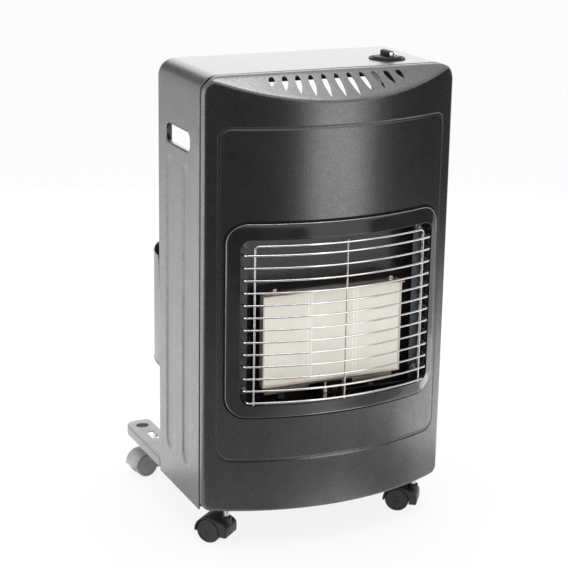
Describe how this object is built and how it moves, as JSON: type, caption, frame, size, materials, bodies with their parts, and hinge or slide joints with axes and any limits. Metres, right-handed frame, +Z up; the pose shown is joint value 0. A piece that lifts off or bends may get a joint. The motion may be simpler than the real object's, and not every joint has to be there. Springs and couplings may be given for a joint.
{
  "type": "portable gas cabinet heater",
  "caption": "Upright gas cabinet heater on twin wheel castors with a bulged front, raised window frame, wire guard over ceramic plaques, vent slots and a top knob.",
  "frame": {"origin": "centre of the whole part's footprint box, on the floor under the castors", "axes": "+Z up, the long way of the cabinet; the glowing front faces -Y, the bottle bay opens towards +Y; +X is to the right of someone facing the front"},
  "size_m": [0.4434, 0.4386, 0.7594],
  "materials": {
    "cabinet_paint": "satin grey stove paint on steel sheet",
    "front_paint": "satin charcoal stove paint",
    "surround_enamel": "glossy dark enamel",
    "tray_paint": "satin light grey paint",
    "housing_sheet": "heat darkened sheet",
    "bright_chrome": "bright chrome plate",
    "heat_steel": "steel tinted by heat",
    "galvanised": "bare galvanised sheet",
    "screw_steel": "zinc plated steel",
    "cast_alloy": "as cast",
    "ceramic": "matt unglazed ceramic",
    "brass": "turned",
    "copper": "drawn copper tube",
    "lead_rubber": "silicone sleeve",
    "black_plastic": "moulded",
    "castor_plastic": "moulded nylon"
  },
  "bodies": {
    "cabinet": {"cabinet_shell": "cabinet_paint", "front_panel": "front_paint", "window_surround": "surround_enamel", "wire_guard": "bright_chrome", "guard_screw_left_lower": "screw_steel", "guard_screw_left_upper": "screw_steel", "guard_screw_right_lower": "screw_steel", "guard_screw_right_upper": "screw_steel", "burner_housing": "housing_sheet", "burner_plenum": "galvanised", "ceramic_plaque_left": "ceramic", "ceramic_plaque_middle": "ceramic", "ceramic_plaque_right": "ceramic", "burner_frame": "heat_steel", "plaque_clip_left": "screw_steel", "plaque_clip_right": "screw_steel", "burner_apron": "galvanised", "burner_manifold": "galvanised", "injector_left": "brass", "injector_middle": "brass", "injector_right": "brass", "pilot_bracket": "galvanised", "pilot_burner": "brass", "thermocouple": "copper", "spark_electrode": "ceramic", "spark_lead": "lead_rubber", "pilot_pipe": "copper", "burner_pipe": "galvanised", "gas_valve": "cast_alloy", "valve_bracket": "galvanised", "knob_bezel": "black_plastic", "inlet_nozzle": "brass", "bay_partition": "galvanised", "base_tray": "tray_paint", "castor_front_left_stem": "screw_steel", "castor_front_right_stem": "screw_steel", "castor_rear_left_stem": "screw_steel", "castor_rear_right_stem": "screw_steel"},
    "castor_front_left": {"castor_front_left_hood": "castor_plastic", "castor_front_left_axle": "screw_steel"},
    "castor_front_left_wheel_left": {"castor_front_left_wheel_left": "castor_plastic"},
    "castor_front_left_wheel_right": {"castor_front_left_wheel_right": "castor_plastic"},
    "castor_front_right": {"castor_front_right_hood": "castor_plastic", "castor_front_right_axle": "screw_steel"},
    "castor_front_right_wheel_left": {"castor_front_right_wheel_left": "castor_plastic"},
    "castor_front_right_wheel_right": {"castor_front_right_wheel_right": "castor_plastic"},
    "castor_rear_left": {"castor_rear_left_hood": "castor_plastic", "castor_rear_left_axle": "screw_steel"},
    "castor_rear_left_wheel_left": {"castor_rear_left_wheel_left": "castor_plastic"},
    "castor_rear_left_wheel_right": {"castor_rear_left_wheel_right": "castor_plastic"},
    "castor_rear_right": {"castor_rear_right_hood": "castor_plastic", "castor_rear_right_axle": "screw_steel"},
    "castor_rear_right_wheel_left": {"castor_rear_right_wheel_left": "castor_plastic"},
    "castor_rear_right_wheel_right": {"castor_rear_right_wheel_right": "castor_plastic"},
    "spindle": {"valve_spindle": "galvanised"},
    "knob": {"knob": "black_plastic", "knob_insert": "bright_chrome"},
    "bottle_guard": {"bottle_guard": "cabinet_paint"}
  },
  "joints": [
    {"name": "castor_front_left_swivel", "type": "hinge", "parent": "cabinet", "child": "castor_front_left", "pos_m": [-0.168, -0.1462, 0.045], "axis": [0, 0, 1], "continuous": true},
    {"name": "castor_front_left_wheel_left_spin", "type": "hinge", "parent": "castor_front_left", "child": "castor_front_left_wheel_left", "pos_m": [-0.18343, -0.12782, 0.02], "axis": [-0.766, -0.6428, 0], "continuous": true},
    {"name": "castor_front_left_wheel_right_spin", "type": "hinge", "parent": "castor_front_left", "child": "castor_front_left_wheel_right", "pos_m": [-0.18343, -0.12782, 0.02], "axis": [-0.766, -0.6428, 0], "continuous": true},
    {"name": "castor_front_right_swivel", "type": "hinge", "parent": "cabinet", "child": "castor_front_right", "pos_m": [0.168, -0.1462, 0.045], "axis": [0, 0, 1], "continuous": true},
    {"name": "castor_front_right_wheel_left_spin", "type": "hinge", "parent": "castor_front_right", "child": "castor_front_right_wheel_left", "pos_m": [0.14883, -0.13176, 0.02], "axis": [-0.6018, -0.7986, 0], "continuous": true},
    {"name": "castor_front_right_wheel_right_spin", "type": "hinge", "parent": "castor_front_right", "child": "castor_front_right_wheel_right", "pos_m": [0.14883, -0.13176, 0.02], "axis": [-0.6018, -0.7986, 0], "continuous": true},
    {"name": "castor_rear_left_swivel", "type": "hinge", "parent": "cabinet", "child": "castor_rear_left", "pos_m": [-0.1715, 0.1683, 0.045], "axis": [0, 0, 1], "continuous": true},
    {"name": "castor_rear_left_wheel_left_spin", "type": "hinge", "parent": "castor_rear_left", "child": "castor_rear_left_wheel_left", "pos_m": [-0.19514, 0.16413, 0.02], "axis": [0.1736, -0.9848, 0], "continuous": true},
    {"name": "castor_rear_left_wheel_right_spin", "type": "hinge", "parent": "castor_rear_left", "child": "castor_rear_left_wheel_right", "pos_m": [-0.19514, 0.16413, 0.02], "axis": [0.1736, -0.9848, 0], "continuous": true},
    {"name": "castor_rear_right_swivel", "type": "hinge", "parent": "cabinet", "child": "castor_rear_right", "pos_m": [0.1715, 0.1683, 0.045], "axis": [0, 0, 1], "continuous": true},
    {"name": "castor_rear_right_wheel_left_spin", "type": "hinge", "parent": "castor_rear_right", "child": "castor_rear_right_wheel_left", "pos_m": [0.19514, 0.16413, 0.02], "axis": [0.1736, 0.9848, 0], "continuous": true},
    {"name": "castor_rear_right_wheel_right_spin", "type": "hinge", "parent": "castor_rear_right", "child": "castor_rear_right_wheel_right", "pos_m": [0.19514, 0.16413, 0.02], "axis": [0.1736, 0.9848, 0], "continuous": true},
    {"name": "knob_press", "type": "slide", "parent": "cabinet", "child": "spindle", "axis": [0, 0, -1], "range_m": [0, 0.004], "stiffness_N_per_m": 600, "springref_m": -0.002},
    {"name": "knob_turn", "type": "hinge", "parent": "spindle", "child": "knob", "pos_m": [0.128, -0.0797, 0.75], "axis": [0, 0, -1], "range_deg": [0, 210]},
    {"name": "bottle_guard_removal", "type": "slide", "parent": "cabinet", "child": "bottle_guard", "axis": [0, 1, 0], "range_m": [0, 0.12]}
  ]
}
